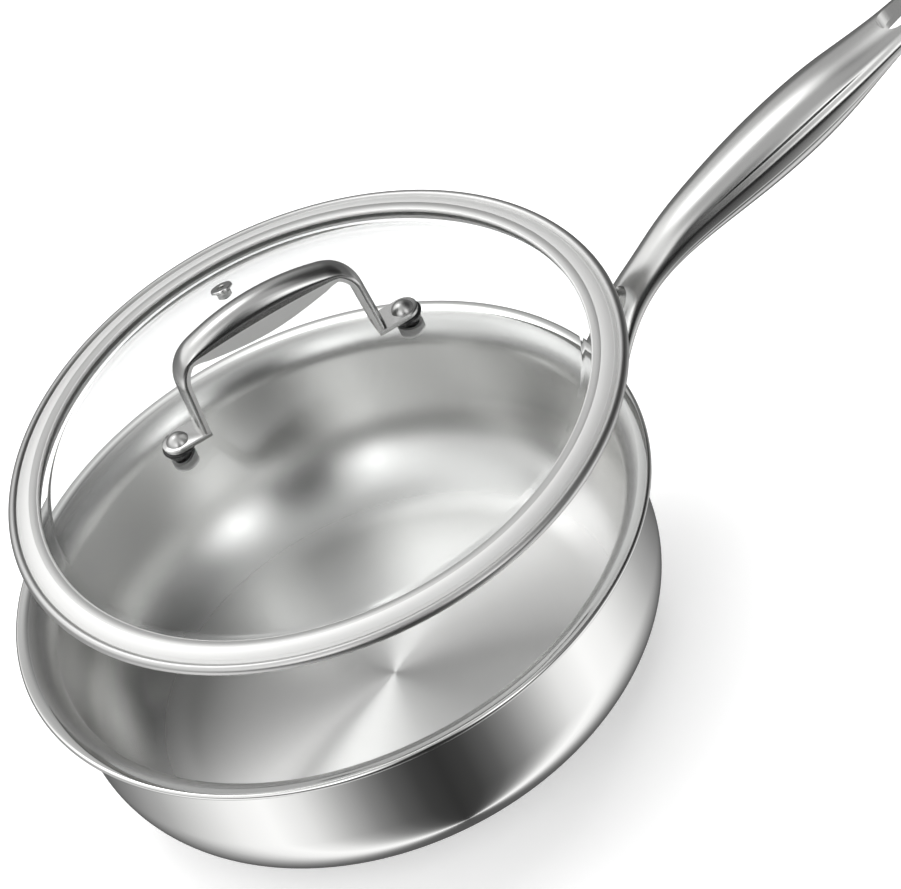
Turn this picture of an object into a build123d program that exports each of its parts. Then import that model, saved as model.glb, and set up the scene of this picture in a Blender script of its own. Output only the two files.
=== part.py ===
from build123d import *
from math import asin, cos, degrees, radians, sin, sqrt
import os

os.makedirs("parts", exist_ok=True)

# A shallow clad steel saucepan with a forked hollow handle and a banded glass lid.
# Millimetres. The origin is the middle of the pan's underside, +Z is up and the handle points along +X.

# Pan body: three bonded metals drawn to one bowl with a flared rim
pan_wall_r = 115.5
pan_height = 73.4
pan_corner_r = 34.5
inner_ply = 0.5
core_ply = 1.5
outer_ply = 0.5
flare_under_r = 9.2
rim_flat = 0.5

# Long handle: two stamped halves on a plate that is welded to the wall
plate_thickness = 2.0
plate_width = 40.0
plate_height = 19.0
plate_corner_r = 5.0
plate_drop = 0.8
shell_thickness = 1.2
root_width = 29.0
root_height = 9.0
neck_width = 18.2
neck_height = 11.1
grip_width = 29.7
grip_height = 21.7
tail_width = 21.0
tail_height = 8.0
handle_rise = 64.8
handle_reach = 204.0
fork_width = 10.0
fork_length = 31.5
arm_clearance = 1.2
seam_drop = 1.5
eye_length = 31.0
eye_width = 12.5
eye_margin = 6.5
section_power = 2.2

# Lid: glass dome in a rolled band
glass_thickness = 4.0
dome_rise = 28.0
dome_edge = 2.8
vent_offset = 80.5
rim_to_band = 2.4
band_width = 13.5
band_bead_r = 2.2
band_lip_r = 0.85
band_lip_step = 0.2
band_crown = 1.0
band_leg = 0.7
band_fold = 4.1
skirt_depth = 7.0
skirt_thickness = 1.4
skirt_play = 0.5
seat_gap = 0.3

# Lid handle: stamped channel arch on two feet
foot_pitch = 97.0
foot_width = 12.0
foot_thickness = 2.0
foot_end = 6.0
leg_inset = 8.0
leg_lean = 1.5
leg_width = 11.0
leg_depth = 4.2
arch_height = 43.0
arch_sag = 10.0
arch_corner_r = 17.0
arch_width = 13.2
arch_depth = 15.2
arch_crown = 5.1
leg_crown = 2.2
channel_thickness = 1.5

# Lid fasteners
rivet_r = 2.0
rivet_head_r = 4.4
rivet_head_height = 2.8
rivet_tail_r = 3.4
rivet_tail_height = 1.0
hole_clearance = 0.1
spacer_r = 6.8
spacer_height = 3.4
spacer_waist = 1.6
spigot_r = 3.6
gasket_r = 4.9
gasket_thickness = 1.5
backing_r = 4.9
backing_thickness = 1.0

# Steam vent
vent_bore_r = 1.5
vent_tube_r = 2.0
vent_flange_r = 4.4
vent_collar_r = 2.8
vent_flange_thickness = 1.0
vent_flange_edge_r = 0.45

# Lid position: lifted clear of the pan and a little towards the handle
lid_lift = 48.5
lid_shift = 15.3
lid_turn = -9.6

# Sizes that follow from those above
wall = inner_ply + core_ply + outer_ply
pan_inner_r = pan_wall_r - wall
flare_r = flare_under_r + wall
flare_axis_r = pan_wall_r + flare_under_r
flare_z = pan_height - flare_r
rim_r = flare_axis_r + rim_flat
plate_face = pan_wall_r + plate_thickness
plate_top = flare_z - plate_drop
plate_mid = plate_top - plate_height / 2
band_outer_r = rim_r - rim_to_band
band_inner_r = band_outer_r - band_width
bead_axis_r = band_outer_r - band_bead_r
glass_top = band_bead_r + band_lip_step
glass_bottom = glass_top - glass_thickness
band_flange_r = band_outer_r - band_fold
glass_edge_r = band_flange_r - band_leg
dome_join_r = band_inner_r - dome_edge
dome_r = (dome_join_r**2 + dome_rise**2) / (2 * dome_rise)
dome_axis_z = glass_top + dome_rise - dome_r
dome_inner_r = dome_r - glass_thickness
lid_closed_z = flare_z + sqrt(
    (flare_r + band_bead_r + seat_gap) ** 2 - (flare_axis_r - bead_axis_r) ** 2
)
foot_r = foot_pitch / 2
glass_z_at_foot = dome_axis_z + sqrt(dome_r**2 - foot_r**2)
glass_under_z_at_foot = dome_axis_z + sqrt(dome_inner_r**2 - foot_r**2)
foot_bottom = glass_z_at_foot + spacer_height
foot_top = foot_bottom + foot_thickness
leg_r = foot_r - leg_inset

origin_plane = Plane.XZ


def turned(edges):
    """A solid of revolution about Z from the outline of its section, given as radius and height."""
    return revolve(origin_plane * make_face(edges), Axis.Z)


def slab(points):
    """A solid of revolution about Z whose section is a plain polygon."""
    return turned(Polyline(*points, close=True).edges())


def pan_run(depth):
    """One face of a ply, depth inside the outer skin: floor, corner, wall, flare and rim flat."""
    corner_axis_r = pan_wall_r - pan_corner_r
    flare_top = flare_z + flare_under_r + depth
    floor = Line((0, depth), (corner_axis_r, depth))
    corner = CenterArc((corner_axis_r, pan_corner_r), pan_corner_r - depth, -90, 90)
    side = Line((pan_wall_r - depth, pan_corner_r), (pan_wall_r - depth, flare_z))
    flare = CenterArc((flare_axis_r, flare_z), flare_under_r + depth, 180, -90)
    lip = Line((flare_axis_r, flare_top), (rim_r, flare_top))
    return [floor, corner, side, flare, lip]


def pan_ply(low, high):
    """A bowl between two depths of the pan's wall, cut square at the rim."""
    rim_low = flare_z + flare_under_r + low
    rim_high = flare_z + flare_under_r + high
    ends = [Line((0, low), (0, high)), Line((rim_r, rim_low), (rim_r, rim_high))]
    return turned(pan_run(low) + pan_run(high) + ends)


def pan_inner():
    """The cooking surface: the innermost ply, folded over the cut edge as a round nose."""
    low = wall - inner_ply
    under = flare_z + flare_under_r
    nose = CenterArc((rim_r, under + wall / 2), wall / 2, 90, -180)
    edge = Line((rim_r, under), (rim_r, under + low))
    return turned(pan_run(low) + pan_run(wall) + [Line((0, low), (0, wall)), nose, edge])


def mount_plate():
    """The pad on the wall, with rounded corners and a flat face, that the two arms of the handle meet."""
    outline = Plane.YZ * Pos(0, plate_mid) * RectangleRounded(plate_width, plate_height, plate_corner_r)
    return extrude(outline, plate_face) - Rot(0, 0, 180) * Cylinder(pan_wall_r, 2 * pan_height)


def handle_stations():
    """Places along the handle, each with its distance from the axis, level, width and height."""
    arm_level = pan_height - wall - arm_clearance - 0.75 * root_height
    root = (plate_face, plate_mid + 0.2 * root_height, root_width, 1.4 * root_height)
    under_rim = (rim_r + wall / 2, arm_level, 0.9 * root_width, root_height)
    crotch = (handle_x(0.150), handle_z(0.476), 1.06 * neck_width, 0.95 * neck_height)
    neck = (handle_x(0.208), handle_z(0.574), neck_width, neck_height)
    shoulder = (handle_x(0.279), handle_z(0.657), 0.69 * grip_width, 0.65 * grip_height)
    fore_grip = (handle_x(0.381), handle_z(0.724), 0.84 * grip_width, 0.83 * grip_height)
    mid_grip = (handle_x(0.492), handle_z(0.773), 0.965 * grip_width, 0.975 * grip_height)
    palm = (handle_x(0.597), handle_z(0.818), grip_width, grip_height)
    aft_grip = (handle_x(0.682), handle_z(0.858), 0.965 * grip_width, 0.88 * grip_height)
    fingers = (handle_x(0.755), handle_z(0.892), 0.875 * grip_width, 0.68 * grip_height)
    eye_start = (handle_x(0.836), handle_z(0.929), 1.08 * tail_width, 1.35 * tail_height)
    tail = (handle_x(1.02), handle_z(1.008), tail_width, tail_height)
    grip = [shoulder, fore_grip, mid_grip, palm, aft_grip, fingers]
    return [root, under_rim, crotch, neck] + grip + [eye_start, tail]


def handle_x(fraction):
    """A distance from the pan's axis, as a fraction of the handle's reach from the wall."""
    return pan_wall_r + fraction * handle_reach


def handle_z(fraction):
    """A level, as a fraction of the handle's rise from the middle of its plate."""
    return plate_mid + fraction * handle_rise


def rounded_section(plane, width, height):
    """The handle's closed section, fuller than an oval."""
    points = []
    for step in range(16):
        angle = radians(90 + 22.5 * step)
        reach = abs(cos(angle)) ** (2 / section_power) * (1 if cos(angle) > 0 else -1)
        crown = abs(sin(angle)) ** (2 / section_power) * (1 if sin(angle) > 0 else -1)
        points.append((reach * width / 2, crown * height / 2))
    return plane * make_face(Spline(*points, periodic=True))


def handle_line():
    """The line that the middle of the handle follows."""
    places = [(x, 0, z) for x, z, width, height in handle_stations()]
    return Spline(*places, tangents=[(1, 0, 1), (1, 0, 0.14)])


def handle_form(inset):
    """The handle as one solid, drawn in by inset all round: the skin for none, the hollow for the wall."""
    line = handle_line()
    sections = []
    for x, z, width, height in handle_stations():
        along = line % line.param_at_point((x, 0, z))
        if x == plate_face:
            along = Vector(1, 0, 0)
        plane = Plane(origin=(x, 0, z), x_dir=(0, 1, 0), z_dir=along)
        sections.append(rounded_section(plane, width - 2 * inset, height - 2 * inset))
    return loft(sections)


def above_seam():
    """All the room over the handle's seam, which runs a little below its middle."""
    line = Pos(0, 0, -seam_drop) * handle_line()
    start = line @ 0
    end = line @ 1
    roof = 2 * pan_height + handle_rise
    corners = [start, (start.X, 0, roof), (end.X, 0, roof), end]
    face = make_face([line] + Polyline(*corners).edges())
    return extrude(face, root_width, both=True)


def upright(outline):
    """A tall prism over an outline drawn in plan, for what passes straight through the handle."""
    return extrude(outline, 2 * pan_height + handle_rise)


def fork_gap(grow):
    """The arched gap between the arms, wider by grow on every side."""
    width = fork_width + 2 * grow
    end = pan_wall_r + fork_length + grow - width / 2
    return upright(Pos(end / 2, 0) * Rectangle(end, width) + Pos(end, 0) * Circle(width / 2))


def tail_outline(inset):
    """The plan of the handle, whose tail is a half circle, drawn in by inset."""
    width = tail_width - 2 * inset
    end = handle_x(1) - tail_width / 2
    block = Pos(end / 2, 0) * Rectangle(end, 2 * root_width)
    return upright(block + Pos(end, 0) * Circle(width / 2))


def hanging_eye(grow):
    """The long hole in the tail that the pan hangs by, wider by grow on every side."""
    middle = handle_x(1) - eye_margin - eye_length / 2
    return upright(Pos(middle, 0) * SlotOverall(eye_length + 2 * grow, eye_width + 2 * grow))


def hollow_handle():
    """The handle before it is parted: hollow, with a wall of its own round the fork gap and the eye."""
    hollow = handle_form(shell_thickness) & tail_outline(shell_thickness)
    hollow -= fork_gap(shell_thickness)
    hollow -= hanging_eye(shell_thickness)
    form = (handle_form(0) & tail_outline(0)) - fork_gap(0) - hanging_eye(0)
    return form - hollow


def place_lid(shape):
    """Takes a piece from the lid's own frame to where the lifted lid is."""
    return Pos(lid_shift, 0, lid_closed_z + lid_lift) * Rot(0, 0, lid_turn) * shape


def at_feet(make):
    """The same piece at both feet of the lid's handle."""
    return [Pos(foot_r, 0) * make(), Rot(0, 0, 180) * Pos(foot_r, 0) * make()]


def vent_frame():
    """Where the vent stands: on the glass, square to the dome."""
    lean = asin(vent_offset / dome_r)
    seat = Vector(0, vent_offset, dome_axis_z + dome_r * cos(lean))
    return Plane(origin=seat, x_dir=(1, 0, 0), z_dir=(0, sin(lean), cos(lean)))


def round_post(radius, low, high):
    """A plain round post about the local Z axis."""
    return Pos(0, 0, low) * Cylinder(radius, high - low, align=(Align.CENTER, Align.CENTER, Align.MIN))


def lid_glass():
    """The dome with its flat ground edge, two holes for the handle and one for the vent."""
    dome = Pos(0, 0, dome_axis_z) * (Sphere(dome_r) - Sphere(dome_inner_r))
    cap = dome & round_post(dome_join_r, glass_bottom, glass_top + 2 * dome_rise)
    edge_in_r = sqrt(dome_inner_r**2 - (glass_bottom - dome_axis_z) ** 2)
    edge = round_post(glass_edge_r, glass_bottom, glass_top) - round_post(edge_in_r, glass_bottom, glass_top)
    edge -= Pos(0, 0, dome_axis_z) * Sphere(dome_inner_r)
    glass = cap + edge
    for hole in at_feet(lambda: round_post(spigot_r + hole_clearance, 0, 2 * dome_rise)):
        glass -= hole
    glass -= vent_frame() * round_post(vent_tube_r + hole_clearance, -2 * glass_thickness, glass_thickness)
    return glass


def lid_band():
    """The rolled band: lip on the glass, low crown, outer bead, folded leg under the glass and a skirt."""
    lip_low = (band_inner_r + band_lip_r, glass_top)
    lip_in = (band_inner_r, glass_top + band_lip_r)
    lip_top = (band_inner_r + band_lip_r, glass_top + 2 * band_lip_r)
    bead_start_angle = radians(133)
    bead_top = (bead_axis_r + band_bead_r * cos(bead_start_angle), band_bead_r * sin(bead_start_angle))
    crown_mid = ((lip_top[0] + bead_top[0]) / 2, (lip_top[1] + bead_top[1]) / 2 + band_crown)
    bead_low = (bead_axis_r, -band_bead_r)
    leg_z = glass_bottom - band_leg
    skirt_r = pan_inner_r - skirt_play
    skirt_in_r = skirt_r - skirt_thickness
    skirt_z = -skirt_depth + skirt_thickness / 2
    leg_in_r = skirt_in_r - 2 * band_leg
    return turned(
        [
            ThreePointArc(lip_low, lip_in, lip_top),
            ThreePointArc(lip_top, crown_mid, bead_top),
            ThreePointArc(bead_top, (band_outer_r, 0), bead_low),
            Polyline(bead_low, (band_flange_r, -band_bead_r), (band_flange_r, leg_z), (skirt_r, leg_z)),
            Line((skirt_r, leg_z), (skirt_r, skirt_z)),
            ThreePointArc((skirt_r, skirt_z), (skirt_r - skirt_thickness / 2, -skirt_depth), (skirt_in_r, skirt_z)),
            Polyline((skirt_in_r, skirt_z), (skirt_in_r, leg_z), (leg_in_r, leg_z), (leg_in_r, glass_bottom)),
            Polyline((leg_in_r, glass_bottom), (glass_edge_r, glass_bottom), (glass_edge_r, glass_top), lip_low),
        ]
    )


def arch_path():
    """The outer line of the lid handle: two nearly upright legs joined by a low arch with round corners."""
    top_r = leg_r - leg_lean
    shoulder = arch_height - arch_sag
    left = Line((-leg_r, 0), (-top_r, shoulder))
    crown = ThreePointArc((-top_r, shoulder), (0, arch_height), (top_r, shoulder))
    right = Line((top_r, shoulder), (leg_r, 0))
    line = Wire([left, crown, right])
    corners = [v for v in line.vertices() if abs(v.Y - shoulder) < 0.01]
    return line.fillet_2d(arch_corner_r, corners)


def channel_section(plane, width, depth, crown):
    """An upturned channel: a half-oval back of the given crown with straight flanks down to the depth."""
    half = width / 2
    inner = half - channel_thickness
    outer_back = EllipticalCenterArc((0, -crown), half, crown, arc_size=180)
    inner_back = EllipticalCenterArc((0, -crown), inner, crown - channel_thickness, arc_size=180)
    right = Polyline((inner, -crown), (inner, -depth), (half, -depth), (half, -crown))
    left = Polyline((-half, -crown), (-half, -depth), (-inner, -depth), (-inner, -crown))
    return plane * make_face(outer_back.edges() + left.edges() + inner_back.edges() + right.edges())


def lid_handle():
    """The stamped handle: a channel that is widest and deepest mid-grip, running down to two flat feet."""
    path = Plane.XZ.location * arch_path()
    sections = []
    for place in (0.0, 0.1, 0.19, 0.25, 0.31, 0.39, 0.5, 0.61, 0.69, 0.75, 0.81, 0.9, 1.0):
        fullness = max(0.0, 1 - (abs(place - 0.5) / 0.25) ** 2)
        width = leg_width + (arch_width - leg_width) * fullness
        depth = leg_depth + (arch_depth - leg_depth) * fullness
        crown = leg_crown + (arch_crown - leg_crown) * fullness
        plane = Plane(origin=path @ place, x_dir=(0, 1, 0), z_dir=path % place)
        sections.append(channel_section(plane, width, depth, crown))
    grip = Pos(0, 0, foot_top) * loft(sections)
    for foot in at_feet(lid_foot):
        grip += foot
    return grip


def lid_foot():
    """One flat foot, round at its outer end and drilled for the rivet, which is at the local origin."""
    reach = foot_r - leg_r + leg_depth
    outline = Pos(-reach / 2, 0) * Rectangle(reach, foot_width) + Circle(foot_end)
    foot = extrude(Pos(0, 0, foot_bottom) * outline, foot_thickness)
    return foot - round_post(rivet_r + hole_clearance, foot_bottom, foot_top)


def rivet():
    """A domed rivet through foot, spacer, glass and washers, with its tail spread below them."""
    cap_r = (rivet_head_r**2 + rivet_head_height**2) / (2 * rivet_head_height)
    cap = Pos(0, 0, foot_top + rivet_head_height - cap_r) * Sphere(cap_r)
    head = cap & round_post(rivet_head_r, foot_top, foot_top + rivet_head_height)
    tail_top = backing_bottom()
    shank = round_post(rivet_r, tail_top - rivet_tail_height, foot_top)
    return head + shank + round_post(rivet_tail_r, tail_top - rivet_tail_height, tail_top)


def gasket_bottom():
    """The level of the soft washer's flat underside, below the lowest part of its seat on the glass."""
    lowest = dome_axis_z + sqrt(dome_inner_r**2 - (foot_r + gasket_r) ** 2)
    return lowest - gasket_thickness


def backing_bottom():
    """The level of the steel backing washer's underside."""
    return gasket_bottom() - backing_thickness


def dome_at_foot(radius):
    """A ball of the dome, seen from a foot's own origin."""
    return Pos(-foot_r, 0, dome_axis_z) * Sphere(radius)


def spacer():
    """The dark spacer under a foot: waisted towards the glass, with a spigot through the glass."""
    low = glass_under_z_at_foot
    body = Pos(0, 0, foot_bottom - spacer_height * 2) * Cone(
        spacer_r - 2 * spacer_waist, spacer_r, spacer_height * 2, align=(Align.CENTER, Align.CENTER, Align.MIN)
    )
    washer = body - dome_at_foot(dome_r)
    spigot = round_post(spigot_r, low - glass_thickness, foot_bottom) - dome_at_foot(dome_inner_r)
    return washer + spigot - round_post(rivet_r + hole_clearance, low - glass_thickness, foot_bottom)


def gasket():
    """The soft washer under the glass, dished to the dome above and flat below."""
    ring = round_post(gasket_r, gasket_bottom(), foot_bottom) & dome_at_foot(dome_inner_r)
    return ring - round_post(rivet_r + hole_clearance, gasket_bottom(), foot_bottom)


def backing_washer():
    """The flat steel washer that the rivet's tail bears on."""
    ring = round_post(backing_r, backing_bottom(), gasket_bottom())
    return ring - round_post(rivet_r + hole_clearance, backing_bottom(), gasket_bottom())


def vent_eyelet():
    """The vent's tube with its flange on top of the glass."""
    tube = round_post(vent_tube_r, -glass_thickness - 2 * vent_flange_thickness, vent_flange_thickness)
    flange = fillet(round_post(vent_flange_r, 0, vent_flange_thickness).edges().group_by(Axis.Z)[-1], vent_flange_edge_r)
    bore = round_post(vent_bore_r, -2 * glass_thickness, glass_thickness)
    return vent_frame() * (tube + flange - bore)


def vent_collar():
    """The collar pressed on the vent's tube below the glass."""
    low = -glass_thickness - 1.5 * vent_flange_thickness
    ring = round_post(vent_collar_r, low, 0) - round_post(vent_tube_r, low, 0)
    return vent_frame() * ring & Pos(0, 0, dome_axis_z) * Sphere(dome_inner_r)


lid_pieces = {
    "lid_glass": lid_glass(),
    "lid_band": lid_band(),
    "lid_handle": lid_handle(),
    "lid_handle_rivets": Compound(children=at_feet(rivet)),
    "lid_handle_spacers": Compound(children=at_feet(spacer)),
    "lid_inner_gaskets": Compound(children=at_feet(gasket)),
    "lid_backing_washers": Compound(children=at_feet(backing_washer)),
    "vent_eyelet": vent_eyelet(),
    "vent_collar": vent_collar(),
}

handle = hollow_handle()
upper_room = above_seam()
pieces = {
    "pan_inner_ply": pan_inner(),
    "pan_core_ply": pan_ply(outer_ply, outer_ply + core_ply),
    "pan_outer_ply": pan_ply(0, outer_ply),
    "handle_mount_plate": mount_plate(),
    "handle_upper_shell": handle & upper_room,
    "handle_lower_shell": handle - upper_room,
}
for name, shape in lid_pieces.items():
    pieces[name] = place_lid(shape)

for name, shape in pieces.items():
    export_step(shape, f"parts/{name}.step")

print("dome slope at the band, degrees:", round(degrees(asin(dome_join_r / dome_r)), 1))
print("closed lid plane, mm:", round(lid_closed_z, 2))
print("lid foot top above the band's plane, mm:", round(foot_top, 2))
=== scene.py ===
"""Dresses a clad steel saucepan and its lifted glass lid with smooth skins, finishes, lights and a camera."""

import math

import bpy
import bmesh
import numpy as np
from mathutils import Matrix, Vector


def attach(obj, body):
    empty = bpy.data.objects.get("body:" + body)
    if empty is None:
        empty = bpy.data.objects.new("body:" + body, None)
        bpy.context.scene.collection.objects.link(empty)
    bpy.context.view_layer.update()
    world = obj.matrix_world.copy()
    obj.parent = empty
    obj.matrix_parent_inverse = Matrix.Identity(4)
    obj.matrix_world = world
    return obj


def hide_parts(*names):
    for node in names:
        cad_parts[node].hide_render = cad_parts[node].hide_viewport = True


bl_info = {
    "name": "Clad Saucepan Dresser",
    "version": (1, 0, 0),
    "blender": (4, 5, 0),
    "location": "View3D > Sidebar > Saucepan",
    "description": "Builds the smooth skins, finishes and studio of a saucepan with a glass lid",
    "category": "Add Mesh",
}

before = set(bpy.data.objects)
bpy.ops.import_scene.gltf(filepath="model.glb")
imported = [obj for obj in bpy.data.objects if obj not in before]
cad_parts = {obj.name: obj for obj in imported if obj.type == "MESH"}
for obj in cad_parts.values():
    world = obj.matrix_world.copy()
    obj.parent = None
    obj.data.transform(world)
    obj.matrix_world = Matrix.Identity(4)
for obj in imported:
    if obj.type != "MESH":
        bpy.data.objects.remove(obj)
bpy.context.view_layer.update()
MM = 0.001
# Millimetres in a metre and degrees in a radian, by Blender's kind of unit.
WORKSHOP = {"LENGTH": 1 / MM, "ROTATION": math.degrees(1)}
# Decimals that a size in millimetres or degrees keeps.
DIGITS = 4
# Gap in millimetres under which two points of a line are one, and in metres under which a mesh's are.
SAME_POINT = 1e-6
MERGE = 2e-6


def length(name, description, default):
    """A length property, given in millimetres and held in metres."""
    return bpy.props.FloatProperty(name=name, description=description, default=default * MM, unit="LENGTH")


def angle(name, description, default):
    """An angle property, given in degrees and held in radians."""
    turn = math.radians(default)
    return bpy.props.FloatProperty(name=name, description=description, default=turn, subtype="ANGLE")


def share(name, description, default):
    """A property that is a share from 0 to 1."""
    return bpy.props.FloatProperty(
        name=name, description=description, default=default, min=0.0, max=1.0, subtype="FACTOR"
    )


class PanSizes(bpy.types.PropertyGroup):
    """Sizes of the drawn pan."""

    wall_r: length(name="Wall radius", description="Outside of the upright wall", default=115.5)
    height: length(name="Height", description="Floor to the top of the rim", default=73.4)
    corner_r: length(name="Corner radius", description="Outside of the lower corner", default=34.5)
    wall: length(name="Wall", description="All three bonded plies together", default=2.5)
    inner: length(name="Inner ply", description="Steel on the cooking side", default=0.5)
    outer: length(name="Outer ply", description="Steel on the outside", default=0.5)
    flare_r: length(name="Flare", description="Radius under the flared rim", default=9.2)
    rim_flat: length(name="Rim flat", description="Level part of the rim", default=0.45)
    turns: bpy.props.IntProperty(name="Turns", description="Steps round the pan's axis", default=256)


class HandleSizes(bpy.types.PropertyGroup):
    """Sizes of the long forked handle."""

    reach: length(name="Reach", description="From the wall to the tail", default=204.0)
    rise: length(name="Rise", description="From the plate's middle to the tail", default=64.8)
    face: length(name="Pad face", description="Flat face that the arms meet", default=117.5)
    foot_z: length(name="Pad level", description="Middle of the pad", default=51.4)
    root_w: length(name="Root width", description="Across both arms", default=29.0)
    root_h: length(name="Root height", description="Depth of an arm", default=9.0)
    neck_w: length(name="Neck width", description="Narrowest part", default=18.2)
    neck_h: length(name="Neck height", description="Depth at the neck", default=11.1)
    grip_w: length(name="Grip width", description="Widest part", default=29.7)
    grip_h: length(name="Grip height", description="Deepest part", default=21.7)
    tail_w: length(name="Tail width", description="Across the tail", default=21.0)
    tail_h: length(name="Tail height", description="Depth of the tail", default=8.0)
    fork_w: length(name="Fork gap", description="Room between the arms", default=10.0)
    fork_l: length(name="Fork length", description="From the wall to the crotch", default=31.5)
    eye_l: length(name="Eye length", description="Hanging eye, end to end", default=31.0)
    eye_w: length(name="Eye width", description="Hanging eye, side to side", default=12.5)
    eye_margin: length(name="Eye margin", description="Metal behind the eye", default=6.5)
    crease_at: share(name="Crease level", description="Crease over the middle, of the depth", default=0.26)
    crease_d: length(name="Crease", description="Depth of the crease along the crown", default=0.7)
    seam_drop: length(name="Seam drop", description="Seam below the middle", default=1.5)
    fullness: bpy.props.FloatProperty(name="Fullness", description="Power of the rounded section", default=2.2)


class LidSizes(bpy.types.PropertyGroup):
    """Sizes of the lid in its own frame, and its place over the pan."""

    place_x: length(name="Shift", description="Towards the long handle", default=15.3)
    place_z: length(name="Level", description="Bead above the pan's underside", default=123.797)
    turn: angle(name="Turn", description="Lid handle from the long handle", default=-9.6)
    outer_r: length(name="Band radius", description="Outside of the band", default=122.8)
    band_w: length(name="Band width", description="Across the band", default=13.5)
    bead_r: length(name="Bead", description="Radius of the outer bead", default=2.2)
    lip_r: length(name="Lip", description="Radius of the rolled inner lip", default=0.85)
    crown: length(name="Crown", description="Rise of the band's back", default=1.0)
    leg: length(name="Leg", description="Metal under the glass edge", default=0.7)
    bed: length(name="Bed", description="Play of the glass in its groove", default=0.05)
    fold: length(name="Fold", description="Bead to the fold", default=4.1)
    glass: length(name="Glass", description="Thickness of the glass", default=4.0)
    rise: length(name="Dome rise", description="Height of the dome", default=28.0)
    skirt_r: length(name="Skirt radius", description="Ring that drops into the pan", default=112.5)
    skirt_t: length(name="Skirt", description="Thickness of that ring", default=1.4)
    skirt_d: length(name="Skirt depth", description="How far it drops", default=7.0)
    pitch: length(name="Foot pitch", description="Rivet to rivet", default=97.0)
    spacer_h: length(name="Spacer height", description="Foot above the glass", default=3.4)
    vent_at: length(name="Vent place", description="Vent from the lid's axis", default=80.5)
    vent_r: length(name="Vent flange", description="Radius of the vent's flange", default=4.4)
    vent_tube: length(name="Vent tube", description="Outside radius of the vent's tube", default=2.0)
    rivet_r: length(name="Rivet head", description="Radius of a rivet's domed head", default=4.4)
    spacer_r: length(name="Spacer", description="Radius of a spacer under its foot", default=6.8)
    waist: length(name="Spacer waist", description="How much a spacer narrows to the glass", default=1.6)
    gasket_r: length(name="Gasket", description="Radius of the gaskets under the glass", default=4.9)
    turns: bpy.props.IntProperty(name="Turns", description="Steps round the lid's axis", default=256)


class GripSizes(bpy.types.PropertyGroup):
    """Sizes of the stamped lid handle."""

    foot_w: length(name="Foot width", description="Across a foot", default=12.0)
    foot_t: length(name="Foot", description="Thickness of a foot", default=2.0)
    inset: length(name="Leg inset", description="Rivet to the leg's back", default=8.0)
    lean: length(name="Lean", description="How far a leg leans in", default=1.5)
    leg_w: length(name="Leg width", description="Across a leg", default=11.0)
    leg_d: length(name="Leg depth", description="Depth of a leg's channel", default=4.2)
    height: length(name="Arch height", description="Above the feet", default=43.0)
    sag: length(name="Arch sag", description="Middle over the shoulders", default=10.0)
    corner: length(name="Corner", description="Bend at a shoulder", default=17.0)
    wide: length(name="Grip width", description="Across the middle", default=13.2)
    deep: length(name="Grip depth", description="Depth of the middle", default=15.2)
    crown: length(name="Grip crown", description="Rounding of the middle", default=5.1)
    leg_crown: length(name="Leg crown", description="Rounding of a leg", default=2.2)
    sheet: length(name="Sheet", description="Thickness of the sheet", default=1.5)


class Finishes(bpy.types.PropertyGroup):
    """Colours and polish of the finishes."""

    steel: bpy.props.FloatVectorProperty(
        name="Steel", description="Polished stainless steel", subtype="COLOR", default=(0.78, 0.78, 0.77)
    )
    satin: bpy.props.FloatVectorProperty(
        name="Satin steel", description="Brushed cooking surface", subtype="COLOR", default=(0.8, 0.8, 0.79)
    )
    plastic: bpy.props.FloatVectorProperty(
        name="Spacer", description="Black heat-proof plastic", subtype="COLOR", default=(0.012, 0.012, 0.012)
    )
    polish: share(name="Polish", description="Roughness of the polished wall", default=0.08)
    buff: share(name="Buff", description="Roughness of the buffed handles", default=0.21)
    dull: share(name="Dull", description="Roughness of the unpolished steel", default=0.42)
    sheen: share(name="Sheen", description="Roughness of the band and the rivets", default=0.33)
    buff_shade: share(name="Buff shade", description="Shade of buffed against polished steel", default=0.77)
    brush: share(name="Brush", description="Roughness of the satin steel", default=0.24)
    spin: share(name="Spin", description="Roughness of the pan's floor", default=0.3)


class StageSizes(bpy.types.PropertyGroup):
    """Where the camera stands and what it takes in."""

    azimuth: angle(name="Azimuth", description="Handle's turn from the picture plane", default=16.2)
    elevation: angle(name="Elevation", description="Camera above the rim", default=40.7)
    roll: angle(name="Roll", description="Camera about its own line of sight", default=26.2)
    scale: length(name="Scale", description="Length that one picture point spans", default=0.3743)
    rim_z: length(name="Rim level", description="Middle of the rim's edge above the ground", default=72.15)
    distance: length(name="Distance", description="Camera from what it aims at", default=6000.0)


class Values:
    """A property group's values in single precision, with lengths in millimetres and angles in degrees."""

    def __init__(self, group):
        for key in group.__annotations__:
            value = getattr(group, key)
            unit = group.bl_rna.properties[key].unit
            if unit in WORKSHOP:
                value = float(np.float32(round(value * WORKSHOP[unit], DIGITS)))
            setattr(self, key, value)


def settings(kind):
    """The values of the scene's property group of that kind."""
    return Values(getattr(bpy.context.scene, "saucepan_" + kind))


def run(start, end, count):
    """Straight line: start + t (end - start) at count values of t from 0 to 1."""
    t = np.linspace(0, 1, count)[:, None]
    return np.array(start) + t * (np.array(end) - np.array(start))


def bend(centre, radius, first, last, count):
    """Circular arc: centre + radius (cos a, sin a), a from first to last in degrees."""
    a = np.radians(np.linspace(first, last, count))
    return np.array(centre) + radius * np.stack([np.cos(a), np.sin(a)], axis=1)


def through(first, middle, last, count):
    """The circular arc through three points, from its circle's centre and the angles of its ends."""
    p, q, r = (np.array(v, float) for v in (first, middle, last))
    lhs = 2 * np.array([q - p, r - p])
    centre = np.linalg.solve(lhs, np.array([q @ q - p @ p, r @ r - p @ p]))
    angles = np.unwrap([math.atan2(*(v - centre)[::-1]) for v in (p, q, r)])
    return bend(centre, np.linalg.norm(p - centre), math.degrees(angles[0]), math.degrees(angles[2]), count)


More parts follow.
